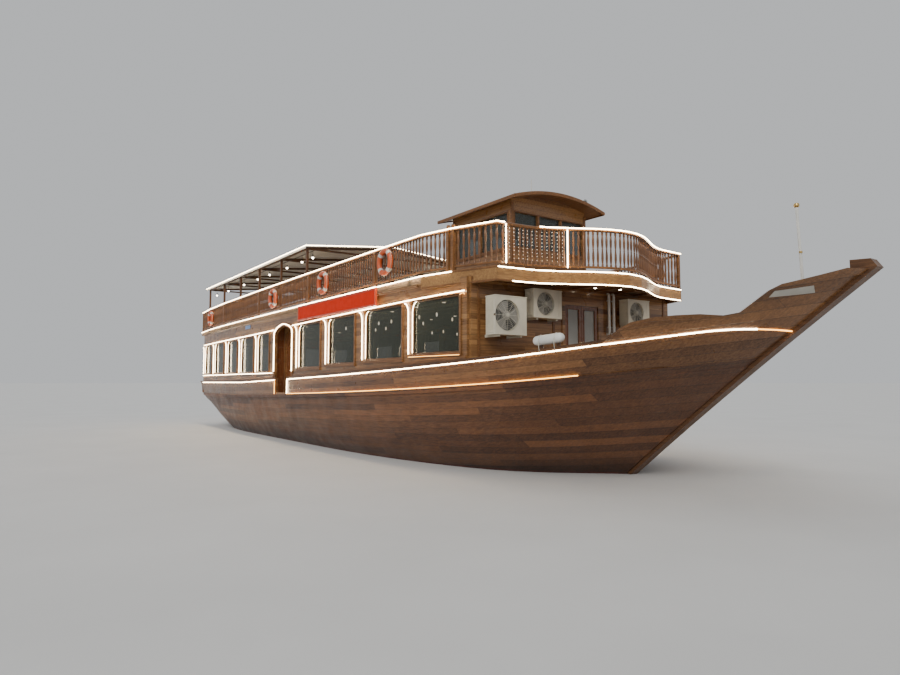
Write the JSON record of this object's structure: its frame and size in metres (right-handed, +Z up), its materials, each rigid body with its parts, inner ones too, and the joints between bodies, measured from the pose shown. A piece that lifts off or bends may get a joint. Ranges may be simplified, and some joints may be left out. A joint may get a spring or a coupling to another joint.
{
  "type": "dhow passenger motor boat",
  "caption": "Two-deck wooden dhow afloat, with raked stem, glazed saloon, railed upper deck, canopy and small wheelhouse.",
  "frame": {"origin": "on the waterline, on the centreline, amidships", "axes": "+X to the bow, +Y to port, +Z up"},
  "size_m": [30.0829, 8.0174, 9.7969],
  "materials": {
    "dark_planking": "oiled dark planks",
    "dark_timber": "oiled timber",
    "varnished_wood": "varnished",
    "door_wood": "gloss varnish",
    "deck_planking": "worn planks",
    "tinted_glass": "tinted",
    "white_fabric": "stretched cloth",
    "cream_casing": "powder coat",
    "white_paint": "gloss",
    "bronze": "cast",
    "sign_paint": "gloss",
    "cushion_cover": "woven"
  },
  "bodies": {
    "boat": {"antenna": "white_paint", "balustrade_front": "varnished_wood", "balustrade_port": "varnished_wood", "balustrade_starboard": "varnished_wood", "balustrade_stern": "varnished_wood", "bow_staff": "white_paint", "bulwark_aft": "dark_planking", "bulwark_fore_port": "dark_planking", "bulwark_fore_starboard": "dark_planking", "canopy_posts_port": "dark_timber", "canopy_posts_starboard": "dark_timber", "canopy_rafters": "dark_timber", "canopy_roof": "white_fabric", "companion_stair": "dark_timber", "cooler_middle": "cream_casing", "cooler_outboard": "cream_casing", "cooler_port": "cream_casing", "deck_fascia": "varnished_wood", "entrance_porch_port": "varnished_wood", "entrance_porch_starboard": "varnished_wood", "helm_console": "dark_timber", "hull": "dark_planking", "keel_and_stem": "dark_timber", "mooring_bitts": "dark_timber", "saloon_bench_port": "cushion_cover", "saloon_bench_starboard": "cushion_cover", "saloon_front_wall": "varnished_wood", "saloon_glass_aft_port": "tinted_glass", "saloon_glass_aft_starboard": "tinted_glass", "saloon_glass_fore_port": "tinted_glass", "saloon_glass_fore_starboard": "tinted_glass", "saloon_side_aft_port": "varnished_wood", "saloon_side_aft_starboard": "varnished_wood", "saloon_side_fore_port": "varnished_wood", "saloon_side_fore_starboard": "varnished_wood", "saloon_stern_glass": "tinted_glass", "saloon_stern_wall": "varnished_wood", "searchlight": "white_paint", "sign_board_port": "sign_paint", "sign_board_starboard": "sign_paint", "stair_guard_aft": "varnished_wood", "stair_guard_port": "varnished_wood", "stair_guard_starboard": "varnished_wood", "upper_deck": "deck_planking", "wheelhouse_glass": "tinted_glass", "wheelhouse_roof": "varnished_wood", "wheelhouse_walls": "varnished_wood"},
    "rudder": {"rudder": "dark_timber"},
    "propeller": {"propeller": "bronze"},
    "helm_wheel": {"helm_wheel": "dark_timber"},
    "wheelhouse_door": {"wheelhouse_door": "door_wood"},
    "front_door_starboard": {"front_door_starboard": "door_wood"},
    "front_door_port": {"front_door_port": "door_wood"},
    "entrance_leaf_aft_starboard": {"entrance_leaf_aft_starboard": "door_wood"},
    "entrance_leaf_fore_starboard": {"entrance_leaf_fore_starboard": "door_wood"},
    "entrance_leaf_aft_port": {"entrance_leaf_aft_port": "door_wood"},
    "entrance_leaf_fore_port": {"entrance_leaf_fore_port": "door_wood"}
  },
  "joints": [
    {"name": "rudder_turn", "type": "hinge", "parent": "boat", "child": "rudder", "pos_m": [-13.13, 0, -0.6], "axis": [0, 0, 1], "range_deg": [-35, 35]},
    {"name": "propeller_spin", "type": "hinge", "parent": "boat", "child": "propeller", "pos_m": [-12.42, 0, -1.29], "axis": [1, 0, 0], "continuous": true},
    {"name": "helm_wheel_turn", "type": "hinge", "parent": "boat", "child": "helm_wheel", "pos_m": [6.56, 0, 5.58], "axis": [1, 0, 0], "range_deg": [-540, 540]},
    {"name": "wheelhouse_door_swing", "type": "hinge", "parent": "boat", "child": "wheelhouse_door", "pos_m": [4.6, -0.894, 5.6], "axis": [0, 0, 1], "range_deg": [0, 100]},
    {"name": "front_door_starboard_swing", "type": "hinge", "parent": "boat", "child": "front_door_starboard", "pos_m": [8.37, -0.579, 3], "axis": [0, 0, 1], "range_deg": [-95, 0]},
    {"name": "front_door_port_swing", "type": "hinge", "parent": "boat", "child": "front_door_port", "pos_m": [8.37, 0.579, 3], "axis": [0, 0, 1], "range_deg": [0, 95]},
    {"name": "entrance_aft_starboard_swing", "type": "hinge", "parent": "boat", "child": "entrance_leaf_aft_starboard", "pos_m": [-2.994, -3.43, 2.9], "axis": [0, 0, 1], "range_deg": [0, 95]},
    {"name": "entrance_fore_starboard_swing", "type": "hinge", "parent": "boat", "child": "entrance_leaf_fore_starboard", "pos_m": [-1.566, -3.43, 2.9], "axis": [0, 0, 1], "range_deg": [-95, 0]},
    {"name": "entrance_aft_port_swing", "type": "hinge", "parent": "boat", "child": "entrance_leaf_aft_port", "pos_m": [-2.994, 3.43, 2.9], "axis": [0, 0, 1], "range_deg": [-95, 0]},
    {"name": "entrance_fore_port_swing", "type": "hinge", "parent": "boat", "child": "entrance_leaf_fore_port", "pos_m": [-1.566, 3.43, 2.9], "axis": [0, 0, 1], "range_deg": [0, 95]}
  ],
  "couplings": [
    {"joint": "helm_wheel_turn", "follows": "rudder_turn", "ratio": 15.4}
  ]
}
